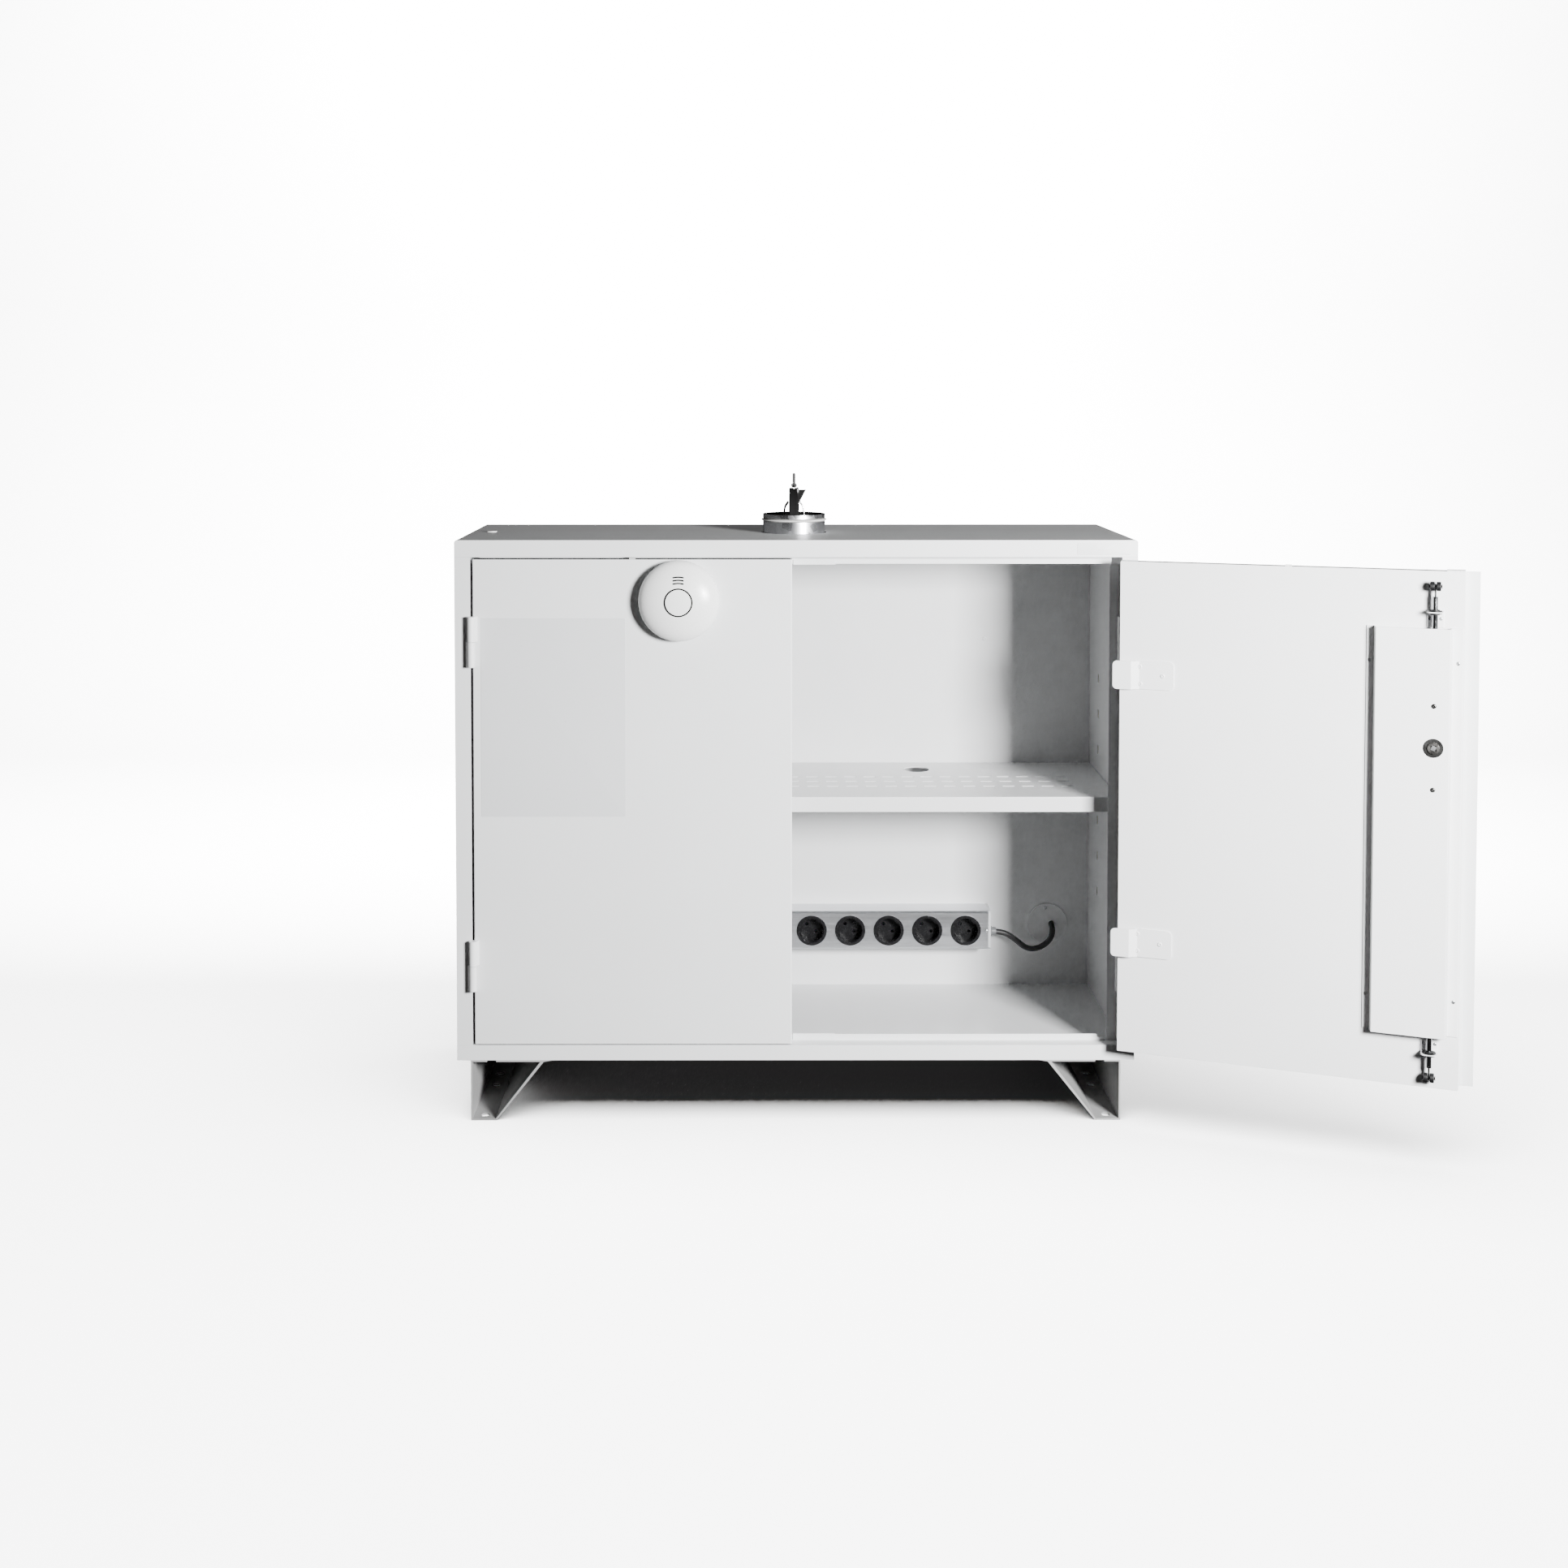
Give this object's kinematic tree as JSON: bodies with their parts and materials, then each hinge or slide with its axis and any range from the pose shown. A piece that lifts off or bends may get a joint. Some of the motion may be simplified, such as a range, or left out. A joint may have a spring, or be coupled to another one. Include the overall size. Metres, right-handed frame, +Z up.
{
  "type": "battery charging cabinet",
  "caption": "Free-standing two-door battery charging cabinet with perforated shelf, socket strip, smoke alarm, roller-bolt lock and a duct spigot with fire damper on folded feet.",
  "frame": {"origin": "on the floor, in the middle of the rectangle of the feet's end bolt holes", "axes": "+X to the right seen from the front, +Y to the cabinet's back, +Z up"},
  "size_m": [1.4331, 0.5186, 0.9513],
  "materials": {
    "white_paint": "powder coat, satin",
    "white_liner": "powder coat, satin",
    "door_paint": "powder coat, satin",
    "door_liner": "powder coat, satin",
    "hook_paint": "powder coat, satin",
    "cover_paint": "powder coat, satin",
    "guide_paint": "powder coat, satin",
    "shelf_paint": "powder coat, satin",
    "strike_paint": "powder coat, satin",
    "foot_paint": "powder coat, satin",
    "white_hinge": "powder coat, satin",
    "mineral_board": "bare mineral fibre board",
    "white_plastic": "smooth",
    "zinc_steel": "zinc plated",
    "zinc_rod": "zinc plated, bright",
    "anodised_aluminium": "brushed, anodised",
    "black_plastic": "fine grain",
    "cap_plastic": "smooth",
    "grey_plastic": "smooth",
    "cable_sheath": "smooth sheath",
    "galvanised_steel": "galvanised, spangled",
    "black_rubber": "smooth",
    "blade_black": "black intumescent coat",
    "spring_steel": "bright wire",
    "alarm_plastic": "smooth, satin",
    "alarm_button_plastic": "smooth, satin",
    "roller_plastic": "smooth",
    "handle_black": "fine grain",
    "lock_brass": "nickel plated"
  },
  "bodies": {
    "cabinet": {"outer_wrap": "white_paint", "bottom_panel": "white_paint", "back_panel": "white_paint", "liner": "white_liner", "insulation": "mineral_board", "frame_top_rail": "white_paint", "frame_bottom_rail": "white_paint", "frame_stile_left": "white_paint", "frame_stile_right": "white_paint", "frame_hinge_knuckles": "white_hinge", "strike_plates": "strike_paint", "roof_plug": "white_plastic", "foot_left": "foot_paint", "foot_right": "foot_paint", "shelf": "shelf_paint", "shelf_clips": "zinc_steel", "strip_housing": "anodised_aluminium", "strip_sockets": "black_plastic", "strip_end_caps": "cap_plastic", "cable_gland": "grey_plastic", "supply_cable": "cable_sheath", "cable_entry": "white_plastic", "duct_spigot": "galvanised_steel", "duct_seal": "black_rubber", "damper_frame": "zinc_steel", "damper_springs": "spring_steel", "fusible_link": "zinc_steel"},
    "left_door": {"left_door_skin": "door_paint", "left_door_inner": "door_liner", "left_door_core": "mineral_board", "left_door_knuckles": "white_hinge", "left_door_hooks": "hook_paint", "left_door_catch": "white_plastic", "alarm_base": "alarm_plastic", "alarm_housing": "alarm_plastic", "alarm_chamber": "black_plastic"},
    "alarm_button": {"alarm_button": "alarm_button_plastic"},
    "right_door": {"right_door_skin": "door_paint", "right_door_inner": "door_liner", "right_door_core": "mineral_board", "right_door_knuckles": "white_hinge", "right_door_hooks": "hook_paint", "right_door_catch": "white_plastic", "lock_cover": "cover_paint", "lock_plate": "zinc_steel", "lock_screws": "zinc_steel", "lock_washer": "zinc_steel", "rod_guides": "guide_paint", "guide_bushes": "black_plastic", "handle_rose": "handle_black"},
    "handle": {"lock_handle": "handle_black", "lock_spindle": "zinc_steel", "lock_cam": "zinc_steel"},
    "key_plug": {"key_plug": "lock_brass"},
    "top_rod": {"top_rod": "zinc_rod"},
    "bottom_rod": {"bottom_rod": "zinc_rod"},
    "top_rollers": {"top_rollers": "roller_plastic"},
    "bottom_rollers": {"bottom_rollers": "roller_plastic"},
    "damper_blade_left": {"damper_blade_left": "blade_black"},
    "damper_blade_right": {"damper_blade_right": "blade_black"}
  },
  "joints": [
    {"name": "right_door_hinge", "type": "hinge", "parent": "cabinet", "child": "right_door", "pos_m": [0.47525, -0.166, 0.472], "axis": [0, 0, 1], "range_deg": [-160, 15]},
    {"name": "left_door_hinge", "type": "hinge", "parent": "cabinet", "child": "left_door", "pos_m": [-0.47525, -0.166, 0.472], "axis": [0, 0, -1], "range_deg": [0, 175]},
    {"name": "handle_turn", "type": "hinge", "parent": "right_door", "child": "handle", "pos_m": [0.88481, -0.30017, 0.5907], "axis": [-0.342, -0.9397, 0], "range_deg": [0, 90]},
    {"name": "key_turn", "type": "hinge", "parent": "handle", "child": "key_plug", "pos_m": [0.89097, -0.28325, 0.5907], "axis": [-0.342, -0.9397, 0], "range_deg": [0, 90]},
    {"name": "top_rod_slide", "type": "slide", "parent": "right_door", "child": "top_rod", "axis": [0, 0, 1], "range_m": [0, 0.017]},
    {"name": "bottom_rod_slide", "type": "slide", "parent": "right_door", "child": "bottom_rod", "axis": [0, 0, -1], "range_m": [0, 0.017]},
    {"name": "top_roller_spin", "type": "hinge", "parent": "top_rod", "child": "top_rollers", "pos_m": [0.86788, -0.34668, 0.8119], "axis": [-0.9397, 0.342, 0], "continuous": true},
    {"name": "bottom_roller_spin", "type": "hinge", "parent": "bottom_rod", "child": "bottom_rollers", "pos_m": [0.86788, -0.34668, 0.1325], "axis": [-0.9397, 0.342, 0], "continuous": true},
    {"name": "alarm_button_press", "type": "slide", "parent": "left_door", "child": "alarm_button", "axis": [0, 1, 0], "range_m": [0, 0.0015], "stiffness_N_per_m": 600, "springref_m": -0.001},
    {"name": "damper_left_hinge", "type": "hinge", "parent": "cabinet", "child": "damper_blade_left", "pos_m": [-0.0015, 0, 0.886], "axis": [0, -1, 0], "range_deg": [0, 90], "deforming": ["damper_springs"]},
    {"name": "damper_right_hinge", "type": "hinge", "parent": "cabinet", "child": "damper_blade_right", "pos_m": [0.0015, 0, 0.886], "axis": [0, 1, 0], "range_deg": [0, 90]}
  ],
  "couplings": [
    {"joint": "top_rod_slide", "follows": "handle_turn", "m_per_rad": 0.010823},
    {"joint": "bottom_rod_slide", "follows": "handle_turn", "m_per_rad": 0.010823},
    {"joint": "damper_right_hinge", "follows": "damper_left_hinge", "ratio": 1}
  ]
}
